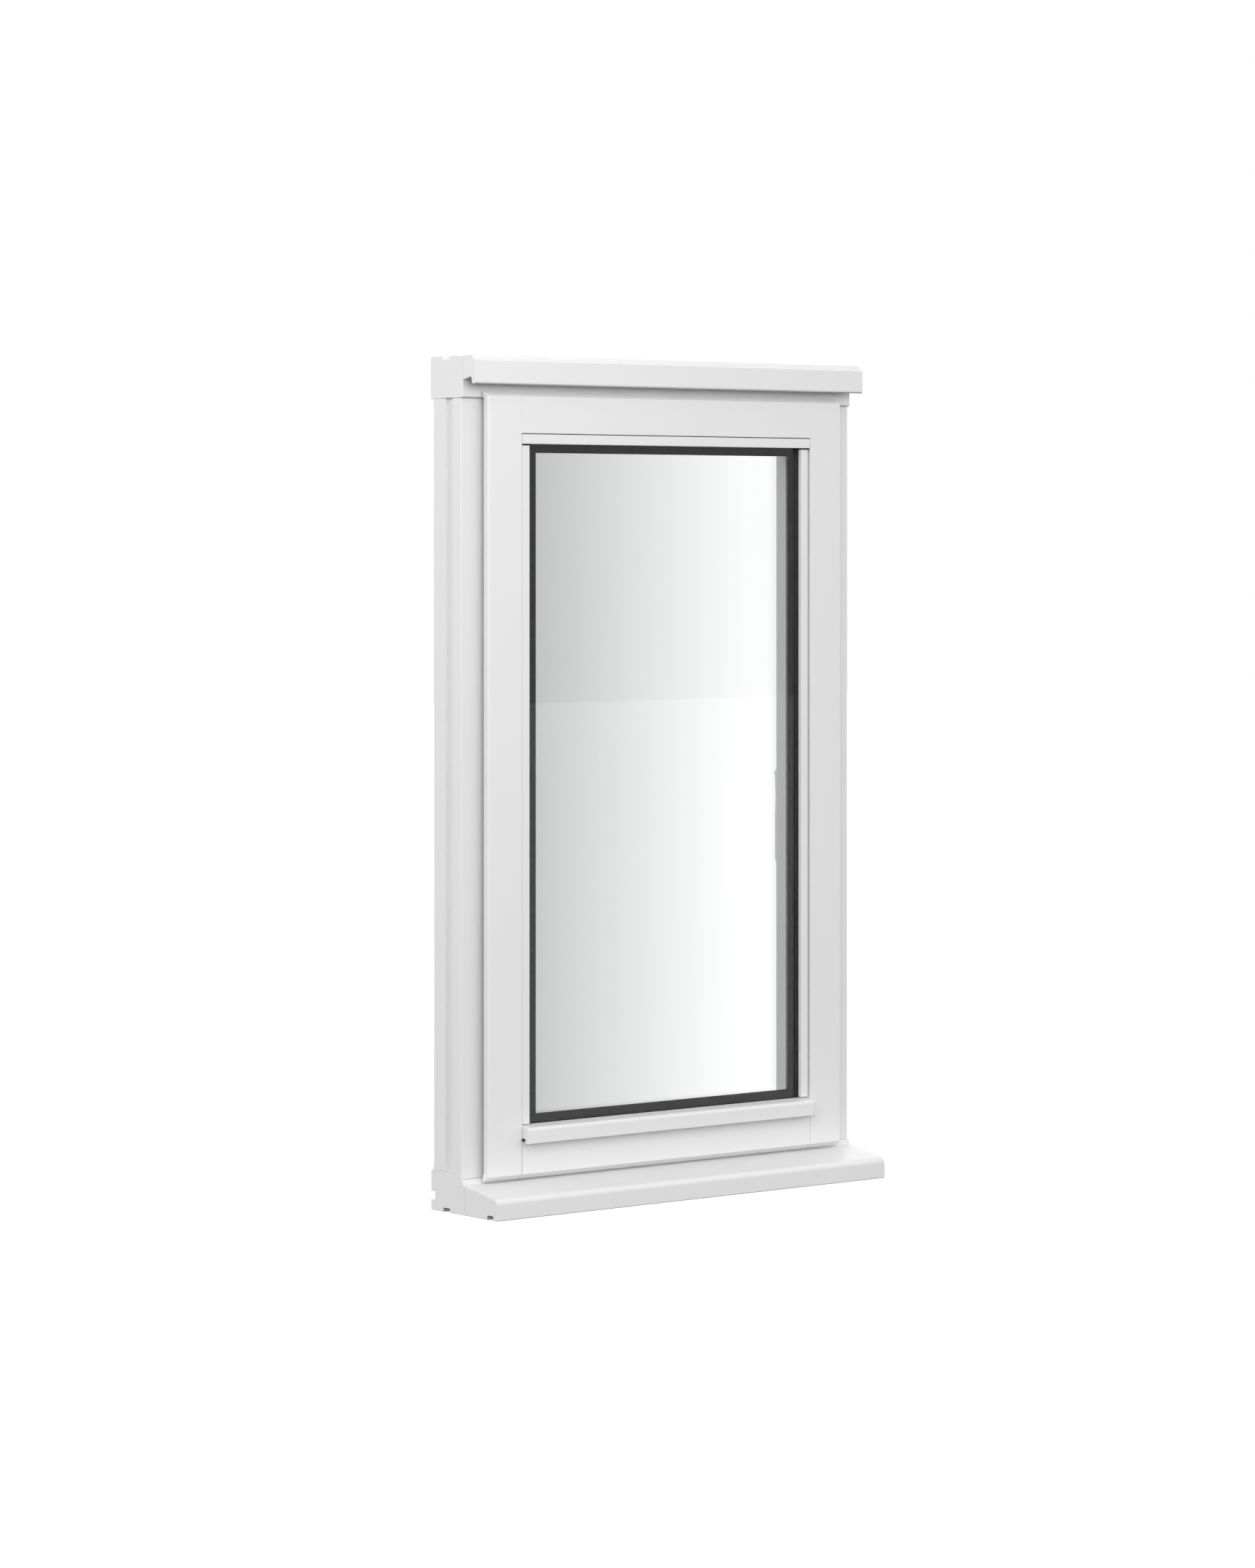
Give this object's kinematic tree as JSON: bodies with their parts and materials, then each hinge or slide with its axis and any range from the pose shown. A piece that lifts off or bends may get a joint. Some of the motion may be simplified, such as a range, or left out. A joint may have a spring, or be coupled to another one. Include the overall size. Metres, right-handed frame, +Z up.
{
  "type": "casement window",
  "caption": "White painted timber stormproof casement window: lipped side-hung sash with sealed double glazing, friction stays and a turning handle in a frame with a projecting sill.",
  "frame": {"origin": "on the underside of the sill, midway along it, in the plane of the jambs' outer faces", "axes": "+X to the right as seen from outside, -Y is the weather side, +Z up the jambs"},
  "size_m": [0.625, 0.1396, 1.045],
  "materials": {
    "frame_timber": "white micro-porous paint, satin",
    "sash_timber": "white micro-porous paint, satin",
    "glass": "clear float glass",
    "spacer": "black warm-edge spacer and sealant",
    "seal": "dark grey extruded seal",
    "nylon": "black moulded nylon",
    "handle": "white powder coat",
    "button": "satin chrome",
    "zinc": "zinc-plated steel",
    "stainless": "pressed stainless steel"
  },
  "bodies": {
    "frame": {"head": "frame_timber", "head_drip_mould": "frame_timber", "sill": "frame_timber", "sill_nosing": "frame_timber", "left_jamb": "frame_timber", "right_jamb": "frame_timber", "left_jamb_seal": "seal", "right_jamb_seal": "seal", "head_seal": "seal", "sill_seal": "seal", "top_track": "stainless", "bottom_track": "stainless", "top_end_cap": "nylon", "bottom_end_cap": "nylon", "top_frame_rivet": "stainless", "bottom_frame_rivet": "stainless", "top_track_rivet": "stainless", "bottom_track_rivet": "stainless", "lower_keep": "zinc", "upper_keep": "zinc"},
    "top_short_arm": {"top_short_arm": "stainless"},
    "bottom_short_arm": {"bottom_short_arm": "stainless"},
    "top_long_arm": {"top_long_arm": "stainless", "top_knee_rivet": "stainless"},
    "bottom_long_arm": {"bottom_long_arm": "stainless", "bottom_knee_rivet": "stainless"},
    "sash": {"left_stile": "sash_timber", "right_stile": "sash_timber", "top_rail": "sash_timber", "bottom_rail": "sash_timber", "top_bead": "sash_timber", "left_bead": "sash_timber", "right_bead": "sash_timber", "weather_bead": "sash_timber", "left_bead_cap": "sash_timber", "right_bead_cap": "sash_timber", "outer_pane": "glass", "inner_pane": "glass", "top_spacer": "spacer", "bottom_spacer": "spacer", "left_spacer": "spacer", "right_spacer": "spacer", "left_block": "nylon", "right_block": "nylon", "top_sash_bar": "stainless", "bottom_sash_bar": "stainless", "top_nose_rivet": "stainless", "bottom_nose_rivet": "stainless", "lock_faceplate": "zinc", "gearbox": "zinc", "handle_base": "handle"},
    "handle": {"handle_lever": "handle", "spindle": "zinc"},
    "button": {"handle_button": "button"},
    "lock_rods": {"lock_rod": "zinc", "lower_cam": "zinc", "upper_cam": "zinc"}
  },
  "joints": [
    {"name": "sash_swing", "type": "hinge", "parent": "top_short_arm", "child": "sash", "pos_m": [-0.2545, 0.012, 0.987], "axis": [0, 0, -1], "range_deg": [0, 115.11]},
    {"name": "top_short_arm_swing", "type": "hinge", "parent": "frame", "child": "top_short_arm", "pos_m": [-0.2045, 0.012, 0.987], "axis": [0, 0, 1], "range_deg": [0, 55.16]},
    {"name": "bottom_short_arm_swing", "type": "hinge", "parent": "frame", "child": "bottom_short_arm", "pos_m": [-0.2045, 0.012, 0.0505], "axis": [0, 0, 1], "range_deg": [0, 55.16]},
    {"name": "top_long_arm_swing", "type": "hinge", "parent": "frame", "child": "top_long_arm", "pos_m": [-0.0045, 0.012, 0.987], "axis": [0, 0, 1], "range_deg": [0, 16.22]},
    {"name": "bottom_long_arm_swing", "type": "hinge", "parent": "frame", "child": "bottom_long_arm", "pos_m": [-0.0045, 0.012, 0.0505], "axis": [0, 0, 1], "range_deg": [0, 16.22]},
    {"name": "handle_turn", "type": "hinge", "parent": "sash", "child": "handle", "pos_m": [0.245, 0.047, 0.51875], "axis": [0, 1, 0], "range_deg": [0, 90]},
    {"name": "lock_rod_slide", "type": "slide", "parent": "sash", "child": "lock_rods", "axis": [0, 0, -1], "range_m": [0, 0.0181]},
    {"name": "button_press", "type": "slide", "parent": "handle", "child": "button", "axis": [0, -1, 0], "range_m": [0, 0.0025], "stiffness_N_per_m": 400}
  ],
  "couplings": [
    {"joint": "top_short_arm_swing", "follows": "sash_swing", "ratio": 0.47878},
    {"joint": "bottom_short_arm_swing", "follows": "sash_swing", "ratio": 0.47878},
    {"joint": "top_long_arm_swing", "follows": "sash_swing", "ratio": 0.14048},
    {"joint": "bottom_long_arm_swing", "follows": "sash_swing", "ratio": 0.14048},
    {"joint": "lock_rod_slide", "follows": "handle_turn", "m_per_rad": 0.011459}
  ]
}
